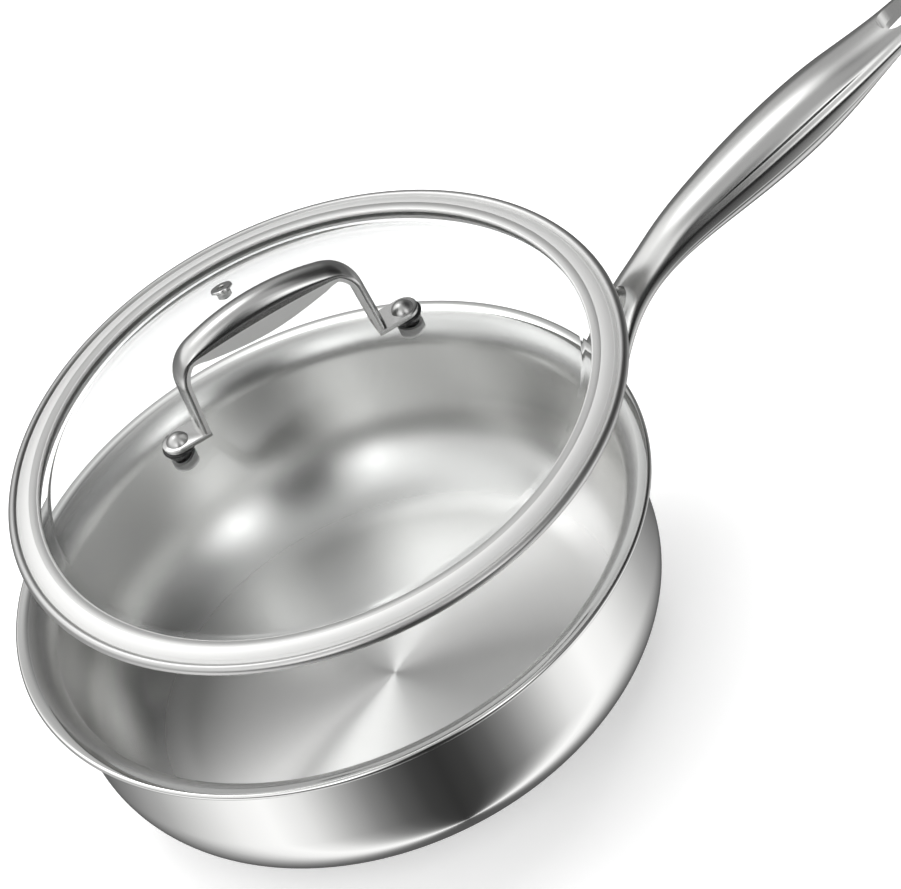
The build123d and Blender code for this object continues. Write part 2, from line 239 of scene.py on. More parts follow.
def chain(*parts):
    """One line from several, leaving out points that repeat."""
    line = np.concatenate(parts)
    gap = np.linalg.norm(np.diff(line, axis=0), axis=1)
    return line[np.concatenate([[True], gap > SAME_POINT])]


def smooth_line(knots, values, at):
    """Natural cubic spline through values at knots, read at other places, its second slopes from one system."""
    knots, values = np.asarray(knots, float), np.asarray(values, float)
    h = np.diff(knots)
    n = len(knots)
    lhs = np.eye(n)
    rhs = np.zeros(n)
    inner = np.arange(1, n - 1)
    lhs[inner, inner - 1] = h[:-1]
    lhs[inner, inner] = 2 * (h[:-1] + h[1:])
    lhs[inner, inner + 1] = h[1:]
    slope = np.diff(values) / h
    rhs[inner] = 6 * np.diff(slope)
    bow = np.linalg.solve(lhs, rhs)
    i = np.clip(np.searchsorted(knots, at) - 1, 0, n - 2)
    a, b = knots[i + 1] - at, at - knots[i]
    cubic = bow[i] * a**3 / (6 * h[i]) + bow[i + 1] * b**3 / (6 * h[i])
    before = values[i] / h[i] - bow[i] * h[i] / 6
    after = values[i + 1] / h[i] - bow[i + 1] * h[i] / 6
    return cubic + before * a + after * b


def grid_faces(rows, cols, wrap_rows, wrap_cols):
    """Quads of a grid whose point (i, j) is number i * cols + j, closed along either side where asked."""
    i = np.arange(rows if wrap_rows else rows - 1)[:, None]
    j = np.arange(cols if wrap_cols else cols - 1)[None, :]
    i2, j2 = (i + 1) % rows, (j + 1) % cols
    quads = np.stack([i * cols + j, i2 * cols + j, i2 * cols + j2, i * cols + j2], axis=-1)
    return quads.reshape(-1, 4)


def piece(name, points, faces, materials, body, nodes, marks=None, uv=None, sharp=38.0):
    """A shown piece from points in millimetres: merged, turned outwards, smooth and riding on its body."""
    mesh = bpy.data.meshes.new(name)
    mesh.from_pydata((points * MM).tolist(), [], [list(map(int, f)) for f in faces])
    for material in materials:
        mesh.materials.append(material)
    if marks is not None:
        mesh.polygons.foreach_set("material_index", np.asarray(marks, np.int32))
    if uv is not None:
        layer = mesh.uv_layers.new(name="UVMap")
        corners = np.empty(len(mesh.loops), np.int32)
        mesh.loops.foreach_get("vertex_index", corners)
        layer.data.foreach_set("uv", uv[corners].astype(np.float32).ravel())
    work = bmesh.new()
    work.from_mesh(mesh)
    bmesh.ops.remove_doubles(work, verts=work.verts, dist=MERGE)
    bmesh.ops.recalc_face_normals(work, faces=work.faces)
    work.to_mesh(mesh)
    work.free()
    mesh.polygons.foreach_set("use_smooth", np.ones(len(mesh.polygons), bool))
    mesh.set_sharp_from_angle(angle=math.radians(sharp))
    shown = bpy.data.objects.new(name, mesh)
    bpy.context.scene.collection.objects.link(shown)
    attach(shown, body)
    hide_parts(*nodes)
    return shown


def lathe(profile, turns, closed):
    """Points and quads of a profile (r, z) turned about Z: (r cos a, r sin a, z), with rings in rows."""
    a = np.linspace(0, 2 * np.pi, turns, endpoint=False)[:, None]
    r, z = profile[:, 0][None, :], profile[:, 1][None, :]
    points = np.stack([r * np.cos(a), r * np.sin(a), z + 0 * a], axis=-1)
    faces = grid_faces(turns, len(profile), True, closed)
    return points.reshape(-1, 3), faces


def flow_uv(profile, turns):
    """UV that follows a turned piece: u round the axis, v along the profile in metres."""
    u = np.linspace(0, 1, turns, endpoint=False)[:, None]
    step = np.linalg.norm(np.diff(profile, axis=0), axis=1)
    v = np.concatenate([[0], np.cumsum(step)])[None, :] * MM
    return np.stack([u + 0 * v, v + 0 * u], axis=-1).reshape(-1, 2)


def on_lid(points):
    """Takes points from the lid's own frame to its lifted place: turned about Z, then moved."""
    lid = settings("lid")
    a = math.radians(lid.turn)
    spin = np.array([[math.cos(a), -math.sin(a), 0], [math.sin(a), math.cos(a), 0], [0, 0, 1]])
    return points @ spin.T + np.array([lid.place_x, 0, lid.place_z])


class Nodes:
    """The node tree of a material or world, with short ways to add and join its nodes."""

    def __init__(self, owner, shader="Principled BSDF"):
        owner.use_nodes = True
        self.owner = owner
        self.tree = owner.node_tree
        self.shader = self.tree.nodes[shader]

    def feed(self, node, inputs):
        """Joins each input to an output, or sets it to a plain value."""
        for key, value in inputs.items():
            if isinstance(value, bpy.types.NodeSocket):
                self.tree.links.new(value, node.inputs[key])
            else:
                node.inputs[key].default_value = value

    def add(self, kind, inputs, **options):
        """Adds a node with those options and inputs."""
        node = self.tree.nodes.new("ShaderNode" + kind)
        for key, value in options.items():
            setattr(node, key, value)
        self.feed(node, inputs)
        return node

    def maths(self, operation, first, second, clamp=False):
        """What a maths node makes of two values."""
        return self.add("Math", {0: first, 1: second}, operation=operation, use_clamp=clamp).outputs[0]

    def noise(self, vector, scale, detail, roughness=0.5):
        """Noise from 0 to 1 at those coordinates."""
        inputs = {"Vector": vector, "Scale": scale, "Detail": detail, "Roughness": roughness}
        return self.add("TexNoise", inputs).outputs["Fac"]

    def grain(self, scale, detail, roughness=0.5):
        """Noise on the piece's own coordinates."""
        return self.noise(self.add("TexCoord", {}).outputs["Object"], scale, detail, roughness)

    def spread(self, value, low, high, first=0.0, last=1.0):
        """Goes from low to high while value runs from first to last."""
        inputs = {"Value": value, "From Min": first, "From Max": last, "To Min": low, "To Max": high}
        return self.add("MapRange", inputs).outputs["Result"]

    def tint(self, value, low, high):
        """A colour from low to high by value."""
        return self.add("Mix", {0: value, 6: low, 7: high}, data_type="RGBA").outputs[2]

    def bump(self, height, strength, distance):
        """The normal of a surface with that relief."""
        inputs = {"Height": height, "Strength": strength, "Distance": distance}
        return self.add("Bump", inputs).outputs["Normal"]

    def shade(self, inputs):
        """Feeds the shader and gives back the material or world."""
        self.feed(self.shader, inputs)
        return self.owner


def fresh(name):
    """The nodes of a new material."""
    return Nodes(bpy.data.materials.new(name))


def shaded(colour, shade=1.0):
    """A colour made darker or lighter by shade, without transparency."""
    return tuple(c * shade for c in colour) + (1,)


def finish(name):
    """A finish by name, made once."""
    found = bpy.data.materials.get(name)
    return found if found else FINISHES[name]()


def polished(name, level, shade):
    """Polished stainless steel of that roughness and shade with cloudy haze and very fine polishing marks."""
    n = fresh(name)
    return n.shade({
        "Metallic": 1.0,
        "Base Color": shaded(settings("looks").steel, shade),
        "Roughness": n.spread(n.grain(55.0, 4.0, 0.6), level * 0.9, level * 1.1),
        "Normal": n.bump(n.grain(2600.0, 2.0), 0.015, 0.0002),
    })


def mirror_steel():
    """The mirror-polished steel of the wall and the small fittings."""
    return polished("mirror_steel", settings("looks").polish, 1.0)


def buffed_steel():
    """The softer buffed steel of both handles."""
    look = settings("looks")
    return polished("buffed_steel", look.buff, look.buff_shade)


def soft_steel():
    """The softest sheen, of the lid's band and rivets."""
    look = settings("looks")
    return polished("soft_steel", look.sheen, look.buff_shade)


def brushed_steel():
    """Satin stainless steel brushed round the axis: streaks from noise stretched along u, spread across them.

    The roughness falls from the floor's to the wall's while v, the way along the profile, passes the corner.
    """
    look = settings("looks")
    n = fresh("brushed_steel")
    place = n.add("UVMap", {}, uv_map="UVMap").outputs["UV"]
    stretch = n.add("Mapping", {"Vector": place, "Scale": (5.0, 5200.0, 1.0)})
    streak = n.noise(stretch.outputs["Vector"], 1.0, 3.0, 0.65)
    along = n.add("SeparateXYZ", {0: place}).outputs["Y"]
    corner_from, corner_to = 0.07, 0.12
    return n.shade({
        "Metallic": 1.0,
        "Anisotropic": 0.945,
        "Anisotropic Rotation": 0.25,
        "Tangent": n.add("Tangent", {}, direction_type="UV_MAP", uv_map="UVMap").outputs["Tangent"],
        "Base Color": n.tint(streak, shaded(look.satin, 0.97), shaded(look.satin, 1.02)),
        "Roughness": n.spread(along, look.spin, look.brush, corner_from, corner_to),
        "Normal": n.bump(streak, 0.01, 0.0001),
    })


def dull_steel():
    """Unpolished, blasted steel of pressed edges and flanks, which scatters light, with a soft mottle."""
    look = settings("looks")
    n = fresh("dull_steel")
    return n.shade({
        "Metallic": 0.45,
        "Base Color": shaded(look.steel),
        "Roughness": n.spread(n.grain(300.0, 3.0), look.dull * 0.9, look.dull * 1.1),
    })


def lid_glass_clear():
    """Clear tempered glass with the least trace of green and a thin uneven film."""
    n = fresh("lid_glass_clear")
    return n.shade({
        "Base Color": (0.985, 0.992, 0.99, 1),
        "Transmission Weight": 1.0,
        "IOR": 1.45,
        "Specular Tint": (0.25, 0.25, 0.25, 1),
        "Roughness": n.spread(n.grain(40.0, 2.0), 0.0, 0.006),
    })


def black_plastic():
    """Glossy black heat-proof plastic with a faint moulded grain."""
    n = fresh("black_plastic")
    return n.shade({
        "Base Color": shaded(settings("looks").plastic),
        "Roughness": n.spread(n.grain(900.0, 3.0), 0.16, 0.3),
    })


def soft_silicone():
    """Soft translucent silicone with a fine dusty grain."""
    n = fresh("soft_silicone")
    return n.shade({
        "Base Color": n.tint(n.grain(700.0, 4.0), (0.66, 0.66, 0.65, 1), (0.76, 0.76, 0.75, 1)),
        "Roughness": 0.45,
        "Transmission Weight": 0.5,
    })


def rolled_aluminium():
    """Plain rolled aluminium of the hidden core, with faint mottling."""
    n = fresh("rolled_aluminium")
    return n.shade({
        "Metallic": 1.0,
        "Base Color": (0.8, 0.8, 0.8, 1),
        "Roughness": n.spread(n.grain(120.0, 3.0), 0.35, 0.5),
    })


MAKERS = (
    mirror_steel,
    buffed_steel,
    soft_steel,
    brushed_steel,
    dull_steel,
    lid_glass_clear,
    black_plastic,
    soft_silicone,
    rolled_aluminium,
)
FINISHES = {maker.__name__: maker for maker in MAKERS}


def paint(node, name):
    """Gives a CAD node's own object a finish in place of its plain one."""
    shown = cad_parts[node]
    shown.data.materials.clear()
    shown.data.materials.append(finish(name))


# How far below the rim's top its polished edge starts, in millimetres.
RIM_EDGE = 0.6


def pan_face(depth):
    """One face of a ply as (r, z), depth inside the skin: floor line, corner arc, wall, flare arc, rim line."""
    pan = settings("pan")
    knee = pan.wall_r - pan.corner_r
    flare_z = pan.height - pan.flare_r - pan.wall
    axis_r = pan.wall_r + pan.flare_r
    top = flare_z + pan.flare_r + depth
    return chain(
        run((0, depth), (knee, depth), 60),
        bend((knee, pan.corner_r), pan.corner_r - depth, -90, 0, 48),
        run((pan.wall_r - depth, pan.corner_r), (pan.wall_r - depth, flare_z), 12),
        bend((axis_r, flare_z), pan.flare_r + depth, 180, 90, 40),
        run((axis_r, top), (axis_r + pan.rim_flat, top), 3),
    )


class SAUCEPAN_OT_body(bpy.types.Operator):
    """Builds the pan's inner and outer steel as turned skins and finishes its core and handle pad."""

    bl_idname = "saucepan.body"
    bl_label = "Pan body"

    def execute(self, context):
        pan = settings("pan")
        low = pan.wall - pan.inner
        under = pan.height - pan.wall
        edge_r = pan.wall_r + pan.flare_r + pan.rim_flat
        nose = bend((edge_r, under + pan.wall / 2), pan.wall / 2, 90, -90, 24)
        face = pan_face(pan.wall)
        rim_from = len(chain(face[face[:, 1] < pan.height - RIM_EDGE]))
        profile = chain(face, nose, run((edge_r, under), (edge_r, under + low), 4), pan_face(low)[::-1])
        points, faces = lathe(profile, pan.turns, False)
        ring = np.tile(np.arange(len(profile) - 1), pan.turns)
        marks = (ring >= rim_from).astype(int)
        both = [finish("brushed_steel"), finish("mirror_steel")]
        uv = flow_uv(profile, pan.turns)
        piece("pan_inner_skin", points, faces, both, "pan", ["pan_inner_ply"], marks, uv)
        end = run((edge_r, under), (edge_r, under + pan.outer), 3)
        profile = chain(pan_face(0), end, pan_face(pan.outer)[::-1])
        points, faces = lathe(profile, pan.turns, False)
        steel = [finish("mirror_steel")]
        piece("pan_outer_skin", points, faces, steel, "pan", ["pan_outer_ply"])
        paint("pan_core_ply", "rolled_aluminium")
        paint("handle_mount_plate", "mirror_steel")
        return {"FINISHED"}


# Rows of the handle past the rim, as shares of its reach and rise.
SPANS = np.array([0.150, 0.208, 0.279, 0.381, 0.492, 0.597, 0.682, 0.755, 0.836, 1.02])
RISES = np.array([0.476, 0.574, 0.657, 0.724, 0.773, 0.818, 0.858, 0.892, 0.929, 1.008])
# Widths and depths along the root, neck, grip and tail, as shares of each one's own.
ROOT_WIDTHS, ROOT_DEPTHS = np.array([1, 0.9]), np.array([1.4, 1])
NECK_WIDTHS, NECK_DEPTHS = np.array([1.06, 1]), np.array([0.95, 1])
GRIP_WIDTHS = np.array([0.69, 0.84, 0.965, 1.0, 0.965, 0.875])
GRIP_DEPTHS = np.array([0.65, 0.83, 0.975, 1.0, 0.88, 0.68])
TAIL_WIDTHS, TAIL_DEPTHS = np.array([1.08, 1]), np.array([1.35, 1])
# How far the arms stay under the rim, in millimetres, and their drop and lift as shares of their depth.
RIM_ROOM = 1.2
ARM_DROP = 0.75
PAD_LIFT = 0.2
# Sheet, breadth of the crease, breadth and depth of the seam, and reach of the close rows, in millimetres.
SHEET = 1.2
CREASE_W = 0.9
SEAM_W = 0.3
SEAM_D = 0.16
CLOSE = 5
# Most that the seam drops of half the depth, and that a gap takes of the width, as shares.
MOST_DROP = 0.95
MOST_GAP = 0.49
# Half width where the tail sets no limit, and the half width that counts as closed, in millimetres.
NO_LIMIT = 1e3
SHUT = 1e-4
SIDE_STEPS = 64
HALVES = (
    ("handle_upper_skin", "handle_upper_shell", 1),
    ("handle_lower_skin", "handle_lower_shell", -1),
)


def handle_rows():
    """Places along the handle as rows of (x, z, width, depth), from the pad to just past the tail."""
    pan, h = settings("pan"), settings("handle")
    rim = pan.wall_r + pan.flare_r + pan.rim_flat + pan.wall / 2
    under = pan.height - pan.wall - RIM_ROOM - ARM_DROP * h.root_h
    x = np.concatenate([[h.face, rim], pan.wall_r + SPANS * h.reach])
    z = np.concatenate([[h.foot_z + PAD_LIFT * h.root_h, under], h.foot_z + RISES * h.rise])
    widths = [ROOT_WIDTHS * h.root_w, NECK_WIDTHS * h.neck_w, GRIP_WIDTHS * h.grip_w, TAIL_WIDTHS * h.tail_w]
    depths = [ROOT_DEPTHS * h.root_h, NECK_DEPTHS * h.neck_h, GRIP_DEPTHS * h.grip_h, TAIL_DEPTHS * h.tail_h]
    return x, z, np.concatenate(widths), np.concatenate(depths)


def gap_half(x):
    """Half the width of the open gap at x: the round-ended fork slot, the long hanging eye, or none."""
    pan, h = settings("pan"), settings("handle")
    fork_r = h.fork_w / 2
    fork_in = pan.wall_r + h.fork_l - fork_r
    fork = np.sqrt(np.clip(fork_r**2 - np.clip(x - fork_in, 0, None) ** 2, 0, None))
    eye_r = h.eye_w / 2
    middle = pan.wall_r + h.reach - h.eye_margin - h.eye_l / 2
    past = np.clip(np.abs(x - middle) - (h.eye_l / 2 - eye_r), 0, None)
    eye = np.sqrt(np.clip(eye_r**2 - past**2, 0, None))
    return np.maximum(fork, eye)


def tail_half(x):
    """Half the width that the tail's round end leaves at x."""
    pan, h = settings("pan"), settings("handle")
    r = h.tail_w / 2
    end = pan.wall_r + h.reach - r
    left = np.sqrt(np.clip(r**2 - np.clip(x - end, 0, r) ** 2, 0, None))
    return np.where(x > end, left, NO_LIMIT)


class SAUCEPAN_OT_handle(bpy.types.Operator):
    """Builds the two stamped halves of the forked handle.

    Each section is a full oval, y = W/2 cos(t)^(2/n), z = H/2 sin(t)^(2/n), carried along a smooth line.
    Each side runs from the gap's wall over the edge to the gap's wall again, so both arms and the eye close.
    """

    bl_idname = "saucepan.handle"
    bl_label = "Long handle"

    def execute(self, context):
        x, z, width, depth = handle_rows()
        knots = np.concatenate([[0], np.cumsum(np.hypot(np.diff(x), np.diff(z)))])
        s = self.stations(knots, x)
        px, pz = smooth_line(knots, x, s), smooth_line(knots, z, s)
        w, t = smooth_line(knots, width, s), smooth_line(knots, depth, s)
        slope = np.arctan2(np.gradient(pz, s), np.gradient(px, s))
        ease = np.clip(s / knots[1], 0, 1)
        slope = slope * ease * ease * (3 - 2 * ease)
        for name, node, part in HALVES:
            points, faces = self.half(px, pz, w, t, slope, part)
            steel = [finish("buffed_steel")]
            piece(name, points, faces, steel, "pan", [node], sharp=50)
        return {"FINISHED"}

    def stations(self, knots, x):
        """Places along the line, close together where the fork, the eye and the tail end."""
        pan, h = settings("pan"), settings("handle")
        tail = pan.wall_r + h.reach
        eye_out = tail - h.eye_margin
        ends = [pan.wall_r + h.fork_l, eye_out - h.eye_l, eye_out, tail]
        plain = np.linspace(h.face, tail, 130)
        near = np.linspace(0, 1, 24) ** 2 * CLOSE
        close = [end + side * near for end in ends for side in (-1, 1)]
        at = np.unique(np.round(np.concatenate([plain] + close), DIGITS))
        at = at[(at >= h.face) & (at <= tail)]
        return np.interp(at, x, knots)

    def half(self, px, pz, w, t, slope, part):
        """Points and faces of the upper (1) or lower (-1) half: two mirrored sides that share the middle."""
        h = settings("handle")
        n = h.fullness
        seam = -np.arcsin(np.clip(2 * h.seam_drop / t, 0, MOST_DROP) ** (n / 2))
        lean = np.sin(slope)
        outer = np.full_like(px, math.pi / 2 * part)
        gap = gap_half(px)
        for _ in range(4):
            gap = np.minimum(gap, MOST_GAP * w)
            outer = part * np.arccos(np.clip(2 * gap / w, 0, 1) ** (n / 2))
            edge_z = part * t / 2 * np.abs(np.sin(outer)) ** (2 / n)
            gap = gap_half(px - lean * edge_z)
        f = np.linspace(0, 1, SIDE_STEPS)[None, :]
        turn = seam[:, None] + (outer - seam)[:, None] * f
        y = w[:, None] / 2 * np.cos(turn) ** (2 / n)
        dz = t[:, None] / 2 * np.sign(np.sin(turn)) * np.abs(np.sin(turn)) ** (2 / n)
        full = np.clip((w - h.neck_w) / (h.grip_w - h.neck_w), 0, 1)[:, None]
        off_crease = (dz - h.crease_at * t[:, None]) / CREASE_W
        off_seam = (dz + h.seam_drop) / SEAM_W
        y = y - SEAM_D * np.exp(-(off_seam**2)) - h.crease_d * full * np.exp(-(off_crease**2))
        wall_z = np.linspace(0, 1, 6)[None, 1:]
        inner_y = np.maximum(y[:, -1:], 0) + 0 * wall_z
        inner_z = dz[:, -1:] + (-h.seam_drop - dz[:, -1:]) * wall_z
        back_y = np.maximum(y[:, :1] - SHEET, y[:, -1:])
        y = np.concatenate([y, inner_y, back_y], axis=1)
        dz = np.concatenate([dz, inner_z, 0 * back_y - h.seam_drop], axis=1)
        gx = np.minimum(px[:, None] - lean[:, None] * dz, settings("pan").wall_r + h.reach)
        gz = pz[:, None] + np.cos(slope)[:, None] * dz
        y = np.minimum(y, tail_half(gx))
        rows, cols = y.shape
        right = np.stack([gx, y, gz], axis=-1).reshape(-1, 3)
        left = right * np.array([1, -1, 1])
        faces = grid_faces(rows, cols, False, True)
        closed = np.tile(np.arange(cols), rows - 1) >= SIDE_STEPS - 1
        middle = right[faces][:, :, 1].max(axis=1) < SHUT
        keep = ~(closed & middle)
        faces = faces[keep]
        return np.concatenate([right, left]), np.concatenate([faces, faces[:, ::-1] + rows * cols])


# The glass's flat edge over the bead's plane, and the dome's start inside the band's opening, in millimetres.
EDGE_LIFT = 0.2
DOME_IN = 2.8
# Where the band's crown meets its bead, in degrees round the bead.
CREASE_TURN = 133


def dome(lid):
    """Foot radius, radius and centre level of the dome's outside, and the level of the glass's flat edge."""
    join_r = lid.outer_r - lid.band_w - DOME_IN
    radius = (join_r**2 + lid.rise**2) / (2 * lid.rise)
    top = lid.bead_r + EDGE_LIFT
    return join_r, radius, top + lid.rise - radius, top


class SAUCEPAN_OT_glass(bpy.types.Operator):
    """Builds the glass dome: two balls' caps joined by a flat ground edge, turned about the lid's axis."""

    bl_idname = "saucepan.glass"
    bl_label = "Lid glass"

    def execute(self, context):
        lid = settings("lid")
        join_r, radius, centre, top = dome(lid)
        edge_r = lid.outer_r - lid.fold - lid.leg
        inner = radius - lid.glass
        low = top - lid.glass
        reach = math.degrees(math.acos(join_r / radius))
        under_r = math.sqrt(inner**2 - (low - centre) ** 2)
        under = math.degrees(math.acos(under_r / inner))
        profile = chain(
            bend((0, centre), radius, 90, reach, 70),
            run((join_r, top), (edge_r, top), 4),
            run((edge_r, top), (edge_r, low), 3),
            run((edge_r, low), (under_r, low), 4),
            bend((0, centre), inner, under, 90, 70),
        )
        profile[[0, -1], 0] = 0
        points, faces = lathe(profile, lid.turns, False)
        glass = [finish("lid_glass_clear")]
        piece("lid_glass_dome", on_lid(points), faces, glass, "lid", ["lid_glass"], sharp=60)
        return {"FINISHED"}


class SAUCEPAN_OT_band(bpy.types.Operator):
    """Builds the lid's rolled band from arcs and lines turned about the lid's axis."""

    bl_idname = "saucepan.band"
    bl_label = "Lid band"

    def execute(self, context):
        lid = settings("lid")
        *_, top = dome(lid)
        in_r = lid.outer_r - lid.band_w
        bead = lid.outer_r - lid.bead_r
        turn = math.radians(CREASE_TURN)
        crease = (bead + lid.bead_r * math.cos(turn), lid.bead_r * math.sin(turn))
        lip_r = in_r + lid.lip_r
        lip_top = (lip_r, top + 2 * lid.lip_r)
        crown = ((lip_r + crease[0]) / 2, (lip_top[1] + crease[1]) / 2 + lid.crown)
        flange = lid.outer_r - lid.fold
        leg_z = top - lid.glass - lid.leg
        skirt_in = lid.skirt_r - lid.skirt_t
        hook_r = skirt_in - 2 * lid.leg
        round_z = -lid.skirt_d + lid.skirt_t / 2
        glass_r = flange - lid.leg + lid.bed
        low = top - lid.glass - lid.bed
        roof = top + lid.bed
        profile = chain(
            bend((lip_r, top + lid.lip_r), lid.lip_r, 270, 90, 16),
            through(lip_top, crown, crease, 40),
            bend((bead, 0), lid.bead_r, CREASE_TURN, -90, 36),
            run((bead, -lid.bead_r), (flange, -lid.bead_r), 3),
            run((flange, -lid.bead_r), (flange, leg_z), 3),
            run((flange, leg_z), (lid.skirt_r, leg_z), 3),
            run((lid.skirt_r, leg_z), (lid.skirt_r, round_z), 4),
            bend((lid.skirt_r - lid.skirt_t / 2, round_z), lid.skirt_t / 2, 0, -180, 12),
            run((skirt_in, round_z), (skirt_in, leg_z), 4),
            run((skirt_in, leg_z), (hook_r, leg_z), 3),
            run((hook_r, leg_z), (hook_r, low), 3),
            run((hook_r, low), (glass_r, low), 3),
            run((glass_r, low), (glass_r, roof), 3),
            run((glass_r, roof), (lip_r + lid.bed, roof), 4),
        )
        points, faces = lathe(profile, lid.turns, True)
        middle = (profile + np.roll(profile, -1, axis=0)) / 2
        high = (middle[:, 1] > lip_top[1]) | (middle[:, 0] > crease[0])
        shoulder = (middle[:, 0] > lip_r) & high
        both = [finish("dull_steel"), finish("soft_steel")]
        marks = np.tile(shoulder, lid.turns).astype(int)
        points = on_lid(points)
        piece("lid_rolled_band", points, faces, both, "lid", ["lid_band"], marks, sharp=30)
        return {"FINISHED"}


def foot_levels():
    """Underside and top of the lid handle's feet over the bead's plane."""
    lid, grip = settings("lid"), settings("grip")
    _, radius, centre, _ = dome(lid)
    bottom = centre + math.sqrt(radius**2 - (lid.pitch / 2) ** 2) + lid.spacer_h
    return bottom, bottom + grip.foot_t


def at_feet(points):
    """The same points at both feet: moved out along +X, and turned half round."""
    out = points + np.array([settings("lid").pitch / 2, 0, 0])
    return np.concatenate([out, out * np.array([-1, -1, 1])])


def twice(faces, count):
    """Faces for two copies of a piece of count points."""
    return [list(f) for f in faces] + [[i + count for i in f] for f in faces]


# How far the lid handle swells from its middle, as a share of its length, and a foot's eased edge in mm.
SWELL = 0.25
FOOT_EASE = 0.35


class SAUCEPAN_OT_grip(bpy.types.Operator):
    """Builds the lid handle: a channel section carried over legs, bends and a low arch, and two feet."""

    bl_idname = "saucepan.grip"
    bl_label = "Lid handle"

    def arch(self):
        """The back line of the handle from the left foot to the right: leg, bend, arch, bend, leg."""
        lid, grip = settings("lid"), settings("grip")
        leg_r = lid.pitch / 2 - grip.inset
        top_r = leg_r - grip.lean
        shoulder = grip.height - grip.sag
        big = (top_r**2 + grip.sag**2) / (2 * grip.sag)
        centre = np.array([0, grip.height - big])
        along = np.array([-grip.lean, shoulder]) / math.hypot(grip.lean, shoulder)
        inward = np.array([-along[1], along[0]])
        start = np.array([leg_r, 0]) + grip.corner * inward - centre
        b, c = start @ along, start @ start - (big - grip.corner) ** 2
        hub = start + (-b + math.sqrt(b * b - c)) * along + centre
        from_leg = math.degrees(math.atan2(*(-inward)[::-1]))
        to_arch = math.degrees(math.atan2(*(hub - centre)[::-1]))
        half = chain(
            run((leg_r, 0), hub - grip.corner * inward, 40),
            bend(hub, grip.corner, from_leg, to_arch, 60),
            bend(centre, big, to_arch, 90, 90),
        )
        return chain(half * np.array([-1, 1]), half[::-1])

    def execute(self, context):
        grip = settings("grip")
        line = self.arch()
        step = np.linalg.norm(np.diff(line, axis=0), axis=1)
        s = np.concatenate([[0], np.cumsum(step)])
        even = np.linspace(0, s[-1], 220)
        line = np.stack([np.interp(even, s, line[:, 0]), np.interp(even, s, line[:, 1])], axis=1)
        tangent = np.gradient(line, axis=0)
        tangent /= np.linalg.norm(tangent, axis=1)[:, None]
        outward = np.stack([-tangent[:, 1], tangent[:, 0]], axis=1)
        full = np.clip(1 - (np.abs(even / s[-1] - 0.5) / SWELL) ** 2, 0, None)[:, None]
        half = (grip.leg_w + (grip.wide - grip.leg_w) * full) / 2
        deep = grip.leg_d + (grip.deep - grip.leg_d) * full
        crown = grip.leg_crown + (grip.crown - grip.leg_crown) * full
        a = np.radians(np.linspace(0, 180, 33))[None, :]
        flank = np.linspace(0, 1, 5)[None, :]
        down, up = flank[:, 1:], flank[:, :-1]
        thin = half - grip.sheet
        outside = (half * np.cos(a), -half + 0 * down, -thin + 0 * up)
        inside = (thin * np.cos(a[:, ::-1]), thin + 0 * down, half + 0 * up)
        walls = (-crown + (crown - deep) * down, -deep + (deep - crown) * up)
        back = -crown + crown * np.sin(a)
        hollow = -crown + (crown - grip.sheet) * np.sin(a)
        y = np.concatenate(outside + inside, axis=1)
        d = np.concatenate((back, *walls, hollow, *walls), axis=1)
        _, foot_top = foot_levels()
        points = np.stack(
            [line[:, :1] + outward[:, :1] * d, y, foot_top + line[:, 1:] + outward[:, 1:] * d], axis=-1
        )
        rows, cols = y.shape
        faces = [list(f) for f in grid_faces(rows, cols, False, True)]
        faces += [list(range(cols))[::-1], list(range((rows - 1) * cols, rows * cols))]
        points = points.reshape(-1, 3)
        foot, foot_faces = self.foot()
        feet = at_feet(foot)
        faces += [[i + len(points) for i in f] for f in twice(foot_faces, len(foot))]
        points = np.concatenate([points, feet])
        marks = np.zeros(len(faces), int)
        column = np.tile(np.arange(cols), rows - 1)
        marks[: len(column)] = (column >= a.size) | (column == cols - 1)
        both = [finish("buffed_steel"), finish("dull_steel")]
        points = on_lid(points)
        piece("lid_arch_handle", points, faces, both, "lid", ["lid_handle"], marks, sharp=35)
        return {"FINISHED"}

    def foot(self):
        """A flat foot as stacked loops of its plan, a half circle and a tongue, eased at both edges."""
        grip = settings("grip")
        bottom, top = foot_levels()
        r = grip.foot_w / 2
        reach = grip.inset + grip.leg_d
        plan = chain(run((-reach, -r), (0, -r), 8), bend((0, 0), r, -90, 90, 40), run((0, r), (-reach, r), 8))
        centre = np.array([-reach / 2, 0])
        low, high = bottom + FOOT_EASE, top - FOOT_EASE
        loops = []
        for ease, z in ((FOOT_EASE, bottom), (0, low), (0, high), (FOOT_EASE, top)):
            shrink = 1 - ease / r
            loop = centre + (plan - centre) * shrink
            loops.append(np.column_stack([loop, np.full(len(loop), z)]))
        cols = len(plan)
        faces = [list(f) for f in grid_faces(4, cols, False, True)]
        faces += [list(range(cols))[::-1], list(range(3 * cols, 4 * cols))]
        return np.concatenate(loops), faces


# Rivets: height of the head, and radius, thickness and eased edge of the upset tail, in millimetres.
HEAD_H = 2.8
SHANK_R = 2.0
TAIL_R = 3.4
TAIL_T = 1.0
TAIL_EASE = 0.3
# Gaskets and washers under the glass, and the spacers' spigots in its holes, in millimetres.
GASKET_T = 1.5
WASHER_T = 1.0
SPIGOT_R = 3.6
# Steps round a rivet, a spacer and the vent.
FITTING_TURNS = 64
VENT_TURNS = 48


